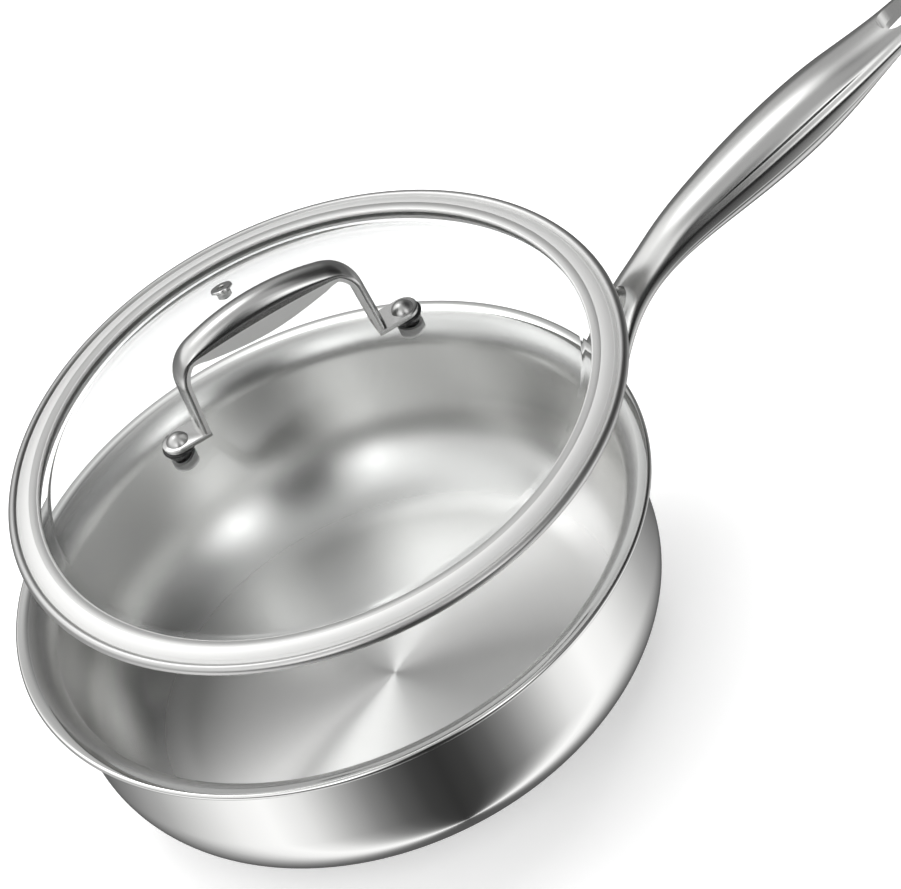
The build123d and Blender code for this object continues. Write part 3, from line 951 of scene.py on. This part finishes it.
class SAUCEPAN_OT_fasteners(bpy.types.Operator):
    """Builds the domed rivets and black spacers, and finishes the washers under the glass."""

    bl_idname = "saucepan.fasteners"
    bl_label = "Lid fasteners"

    def execute(self, context):
        lid = settings("lid")
        bottom, top = foot_levels()
        _, radius, centre, _ = dome(lid)
        inner = radius - lid.glass
        at = lid.pitch / 2
        tail_top = centre + math.sqrt(inner**2 - (at + lid.gasket_r) ** 2) - GASKET_T - WASHER_T
        tail_low = tail_top - TAIL_T
        tail_in = TAIL_R - TAIL_EASE
        cap = (lid.rivet_r**2 + HEAD_H**2) / (2 * HEAD_H)
        reach = math.degrees(math.asin((cap - HEAD_H) / cap))
        profile = chain(
            bend((0, top + HEAD_H - cap), cap, 90, reach, 24),
            run((lid.rivet_r, top), (SHANK_R, top), 3),
            run((SHANK_R, top), (SHANK_R, tail_top), 4),
            run((SHANK_R, tail_top), (TAIL_R, tail_top), 3),
            run((TAIL_R, tail_top), (TAIL_R, tail_low + TAIL_EASE), 3),
            bend((tail_in, tail_low + TAIL_EASE), TAIL_EASE, 0, -90, 6),
            run((tail_in, tail_low), (0, tail_low), 4),
        )
        profile[[0, -1], 0] = 0
        points, faces = lathe(profile, FITTING_TURNS, False)
        steel = [finish("soft_steel")]
        both = on_lid(at_feet(points))
        faces = twice(faces, len(points))
        piece("lid_domed_rivets", both, faces, steel, "lid", ["lid_handle_rivets"])
        self.spacers(radius, centre, inner, at, bottom)
        paint("lid_inner_gaskets", "soft_silicone")
        paint("lid_backing_washers", "dull_steel")
        return {"FINISHED"}

    def spacers(self, radius, centre, inner, at, bottom):
        """Spacers as (r, k): k is 1 at the foot, 0 on the glass and -1 under it, where z follows the balls."""
        wide = settings("lid").spacer_r
        slim = wide - settings("lid").waist
        profile = chain(
            run((0, 1), (wide - 0.5, 1), 6),
            run((wide - 0.2, 0.96), (wide, 0.85), 3),
            run((wide, 0.85), (slim, 0.1), 8),
            run((slim - 0.3, 0.02), (SPIGOT_R, 0), 4),
            run((SPIGOT_R, 0), (SPIGOT_R, -1), 4),
            run((SPIGOT_R, -1), (0, -1), 4),
        )
        points, faces = lathe(profile, FITTING_TURNS, False)
        x, y, k = points[:, 0] + at, points[:, 1], points[:, 2]
        over = centre + np.sqrt(radius**2 - x**2 - y**2)
        below = centre + np.sqrt(inner**2 - x**2 - y**2)
        points[:, 2] = np.where(k >= 0, over + k * (bottom - over), over + k * (over - below))
        black = [finish("black_plastic")]
        both = on_lid(at_feet(points))
        faces = twice(faces, len(points))
        piece("lid_black_spacers", both, faces, black, "lid", ["lid_handle_spacers"])


# Vent: bore, flange, their eased edges, and how far the tube ends under the glass, in millimetres.
BORE_R = 1.5
BORE_EASE = 0.3
FLANGE_T = 1.0
FLANGE_EASE = 0.45
TUBE_END = 2.0


class SAUCEPAN_OT_vent(bpy.types.Operator):
    """Builds the steam vent's eyelet as a turned tube that leans with the dome, and finishes its collar."""

    bl_idname = "saucepan.vent"
    bl_label = "Steam vent"

    def execute(self, context):
        lid = settings("lid")
        _, radius, centre, _ = dome(lid)
        low = -lid.glass - TUBE_END
        bore_top = FLANGE_T - BORE_EASE
        bore_out = BORE_R + BORE_EASE
        rim_top = FLANGE_T - FLANGE_EASE
        rim_in = lid.vent_r - FLANGE_EASE
        profile = chain(
            run((BORE_R, low), (BORE_R, bore_top), 6),
            bend((bore_out, bore_top), BORE_EASE, 180, 90, 6),
            run((bore_out, FLANGE_T), (rim_in, FLANGE_T), 4),
            bend((rim_in, rim_top), FLANGE_EASE, 90, 0, 8),
            run((lid.vent_r, rim_top), (lid.vent_r, 0), 3),
            run((lid.vent_r, 0), (lid.vent_tube, 0), 3),
            run((lid.vent_tube, 0), (lid.vent_tube, low), 5),
        )
        points, faces = lathe(profile, VENT_TURNS, True)
        lean = math.asin(lid.vent_at / radius)
        c, s = math.cos(lean), math.sin(lean)
        tip = np.array([[1, 0, 0], [0, c, s], [0, -s, c]])
        points = points @ tip.T + np.array([0, lid.vent_at, centre + radius * c])
        steel = [finish("mirror_steel")]
        piece("lid_vent_eyelet", on_lid(points), faces, steel, "lid", ["vent_eyelet"])
        paint("vent_collar", "dull_steel")
        return {"FINISHED"}


# Picture: its width in points, the sensor in millimetres, its middle from the rim's middle in points, and how
# far the camera sees in metres.
PICTURE_W = 901
SENSOR_W = 36.0
OFF_RIM = (118.28, 103.17)
FAR = 50
# Floor: half its side in metres, its drop under the pan in millimetres, its white, and its glow to the camera.
FLOOR_HALF = 6.0
FLOOR_DROP = 0.2
FLOOR_WHITE = 0.95
FLOOR_GLOW = 0.35
# Lamp: its spread and its tilt in degrees, and its strength.
LAMP_SPREAD = 60
LAMP_TILT = 35
LAMP_STRENGTH = 1.7
# Studio: panels as (azimuth in degrees, brightness) at four levels from the floor up.
LOW_PANELS = (
    (-180, 0.1), (-160, 0.15), (-140, 0.29), (-120, 0.5), (-100, 0.85), (-85, 1.12), (-70, 1.25), (-55, 1.0),
    (-40, 0.53), (-30, 0.28), (-20, 0.13), (-10, 0.06), (0, 0.04), (10, 0.06), (20, 0.13), (30, 0.28),
    (40, 0.53), (55, 1.0), (70, 1.25), (85, 1.12), (100, 0.85), (120, 0.5), (140, 0.29), (160, 0.15),
    (180, 0.1),
)
MID_PANELS = (
    (-180, 0.2), (-140, 0.25), (-100, 0.5), (-75, 0.6), (-50, 0.1), (-30, 0.02), (30, 0.02), (50, 0.06),
    (75, 0.3), (100, 0.2), (140, 0.15), (180, 0.2),
)
HIGH_PANELS = (
    (-180, 0.55), (-165, 0.75), (-150, 1.1), (-135, 1.4), (-120, 1.4), (-100, 1.1), (-85, 1.0), (-60, 1.1),
    (-40, 1.6), (-30, 2.4), (-20, 1.3), (-10, 0.12), (0, 0.0), (10, 0.12), (20, 1.3), (30, 2.4), (40, 1.3),
    (50, 0.4), (70, 0.12), (90, 0.04), (115, 0.03), (140, 0.06), (155, 0.25), (168, 0.5), (180, 0.55),
)
TOP_PANELS = (
    (-180, 1.2), (-172, 2.4), (-162, 3.4), (-150, 3.2), (-138, 2.0), (-120, 1.2), (-90, 1.1), (-60, 1.1),
    (-30, 1.3), (-12, 0.4), (0, 0.15), (12, 0.4), (30, 1.2), (60, 0.3), (100, 0.05), (140, 0.06),
    (160, 0.25), (170, 0.6), (180, 1.2),
)
# The upward part of the direction between which each level takes over from the one below it.
UPPER_LEVELS = (
    (MID_PANELS, -0.3, -0.14),
    (HIGH_PANELS, 0.18, 0.4),
    (TOP_PANELS, 0.64, 0.78),
)
# The roof's brightness, and the upward part between which it takes over.
ROOF = (0.6, 0.88, 0.97)


def view_axes():
    """Right, up and back of the picture, from the camera's azimuth, elevation and roll."""
    stage = settings("stage")
    f, e, r = (math.radians(v) for v in (stage.azimuth, stage.elevation, stage.roll))
    across = Vector((math.cos(f), -math.sin(f), 0))
    away = Vector((math.sin(f), math.cos(f), 0))
    rise = away * math.sin(e) + Vector((0, 0, math.cos(e)))
    back = -away * math.cos(e) + Vector((0, 0, math.sin(e)))
    return across * math.cos(r) - rise * math.sin(r), across * math.sin(r) + rise * math.cos(r), back


class SAUCEPAN_OT_stage(bpy.types.Operator):
    """Sets up the camera, the white ground, the lamp and the studio that the steel mirrors."""

    bl_idname = "saucepan.stage"
    bl_label = "Stage"

    def execute(self, context):
        scene = context.scene
        scene.view_settings.view_transform = "Standard"
        self.camera(scene)
        self.ground(scene)
        self.lamp(scene)
        self.studio(scene)
        return {"FINISHED"}

    def camera(self, scene):
        """A long lens whose picture puts the rim's middle at its place and keeps the measured scale."""
        stage = settings("stage")
        right, up, back = view_axes()
        point = stage.scale * MM
        distance = stage.distance * MM
        aim = Vector((0, 0, stage.rim_z * MM)) + (right * OFF_RIM[0] + up * OFF_RIM[1]) * point
        data = bpy.data.cameras.new("camera")
        data.sensor_width = SENSOR_W
        data.lens = SENSOR_W * distance / (PICTURE_W * point)
        data.clip_end = FAR
        shown = bpy.data.objects.new("camera", data)
        turn = Matrix((right, up, back)).transposed()
        shown.matrix_world = Matrix.Translation(aim + back * distance) @ turn.to_4x4()
        scene.collection.objects.link(shown)
        scene.camera = shown

    def ground(self, scene):
        """A wide white floor that takes the soft shadow and that the steel doesn't mirror."""
        low = -FLOOR_DROP * MM
        corners = [(x * FLOOR_HALF, y * FLOOR_HALF, low) for x, y in ((-1, -1), (1, -1), (1, 1), (-1, 1))]
        mesh = bpy.data.meshes.new("ground")
        mesh.from_pydata(corners, [], [(0, 1, 2, 3)])
        n = fresh("white_ground")
        rays = n.add("LightPath", {}).outputs
        seen = n.maths("ADD", rays["Is Camera Ray"], rays["Is Transmission Ray"], clamp=True)
        white = n.shade({
            "Base Color": (FLOOR_WHITE, FLOOR_WHITE, FLOOR_WHITE, 1),
            "Roughness": 1.0,
            "Specular IOR Level": 0.0,
            "Emission Color": (1, 1, 1, 1),
            "Emission Strength": n.maths("MULTIPLY", seen, FLOOR_GLOW),
        })
        clear = n.add("BsdfTransparent", {}).outputs[0]
        choose = n.add("MixShader", {0: rays["Glossy Depth"], 1: n.shader.outputs[0], 2: clear})
        n.feed(n.tree.nodes["Material Output"], {"Surface": choose.outputs[0]})
        mesh.materials.append(white)
        shown = bpy.data.objects.new("ground", mesh)
        shown.visible_glossy = False
        scene.collection.objects.link(shown)

    def lamp(self, scene):
        """One broad soft light from above and behind, for the floor's shadow, that the steel doesn't mirror."""
        data = bpy.data.lights.new("key_light", "SUN")
        data.angle = math.radians(LAMP_SPREAD)
        data.energy = LAMP_STRENGTH
        shown = bpy.data.objects.new("key_light", data)
        shown.visible_glossy = False
        shown.visible_transmission = False
        tilt = math.radians(LAMP_TILT)
        up = Vector((0, 0, 1))
        towards = view_axes()[0].cross(up).normalized()
        fall = towards * math.sin(tilt) - up * math.cos(tilt)
        shown.rotation_euler = fall.to_track_quat("-Z", "Y").to_euler()
        scene.collection.objects.link(shown)

    def studio(self, scene):
        """World: a ring of panels by azimuth at four levels, and a roof.

        Azimuth runs from 0 towards the camera to 180 behind the object. Each level is a ramp round the
        azimuth, and the levels blend into each other by the upward part of the direction. The camera sees
        plain white in their place, also through the glass.
        """
        n = Nodes(bpy.data.worlds.new("studio"), "Background")
        scene.world = n.owner
        f = math.radians(settings("stage").azimuth)
        spot = n.add("TexCoord", {}).outputs["Generated"]
        axes = ((math.cos(f), -math.sin(f), 0), (-math.sin(f), -math.cos(f), 0), (0, 0, 1))
        dots = [n.add("VectorMath", {0: spot, 1: axis}, operation="DOT_PRODUCT") for axis in axes]
        across, near, height = (dot.outputs["Value"] for dot in dots)
        around = n.spread(n.maths("ARCTAN2", across, near), 0.0, 1.0, -math.pi, math.pi)
        level = self.ramp(n, around, LOW_PANELS)
        for stops, first, last in UPPER_LEVELS:
            level = self.blend(n, level, self.ramp(n, around, stops), height, first, last)
        roof, first, last = ROOF
        level = self.blend(n, level, roof, height, first, last)
        rays = n.add("LightPath", {}).outputs
        through_glass = n.maths("SUBTRACT", rays["Is Transmission Ray"], rays["Glossy Depth"], clamp=True)
        plain = n.maths("MAXIMUM", rays["Is Camera Ray"], through_glass)
        n.shade({"Color": n.add("Mix", {0: plain, 2: level, 3: 1.0}).outputs[0]})

    def blend(self, n, lower, upper, height, first, last):
        """Goes smoothly from one level to the next while height runs from first to last."""
        inputs = {"Value": height, "From Min": first, "From Max": last}
        part = n.add("MapRange", inputs, interpolation_type="SMOOTHSTEP").outputs["Result"]
        return n.add("Mix", {0: part, 2: lower, 3: upper}).outputs[0]

    def ramp(self, n, around, stops):
        """Grey round the azimuth, straight from one stop to the next."""
        node = n.add("ValToRGB", {"Fac": around})
        node.color_ramp.interpolation = "LINEAR"
        bits = node.color_ramp.elements
        while len(bits) < len(stops):
            bits.new(0.5)
        for bit, (degrees, value) in zip(bits, stops):
            bit.position = (degrees + 180) / 360
            bit.color = (value, value, value, 1)
        return node.outputs["Color"]


class SAUCEPAN_PT_panel(bpy.types.Panel):
    """Lists the saucepan's pieces in the sidebar."""

    bl_label = "Saucepan"
    bl_idname = "SAUCEPAN_PT_panel"
    bl_space_type = "VIEW_3D"
    bl_region_type = "UI"
    bl_category = "Saucepan"

    def draw(self, context):
        for operator in OPERATORS:
            self.layout.operator(operator.bl_idname)


GROUPS = {
    "pan": PanSizes,
    "handle": HandleSizes,
    "lid": LidSizes,
    "grip": GripSizes,
    "looks": Finishes,
    "stage": StageSizes,
}
OPERATORS = (
    SAUCEPAN_OT_body,
    SAUCEPAN_OT_handle,
    SAUCEPAN_OT_glass,
    SAUCEPAN_OT_band,
    SAUCEPAN_OT_grip,
    SAUCEPAN_OT_fasteners,
    SAUCEPAN_OT_vent,
    SAUCEPAN_OT_stage,
)
CLASSES = tuple(GROUPS.values()) + OPERATORS + (SAUCEPAN_PT_panel,)


def register():
    """Registers the classes and hangs the property groups on the scene."""
    for cls in CLASSES:
        bpy.utils.register_class(cls)
    for name, group in GROUPS.items():
        setattr(bpy.types.Scene, "saucepan_" + name, bpy.props.PointerProperty(type=group))


def unregister():
    """Takes the property groups and classes away again."""
    for name in GROUPS:
        delattr(bpy.types.Scene, "saucepan_" + name)
    for cls in reversed(CLASSES):
        bpy.utils.unregister_class(cls)


def main():
    """Builds every piece in order."""
    register()
    bpy.ops.saucepan.body()
    bpy.ops.saucepan.handle()
    bpy.ops.saucepan.glass()
    bpy.ops.saucepan.band()
    bpy.ops.saucepan.grip()
    bpy.ops.saucepan.fasteners()
    bpy.ops.saucepan.vent()
    bpy.ops.saucepan.stage()


if __name__ == "__main__":
    main()
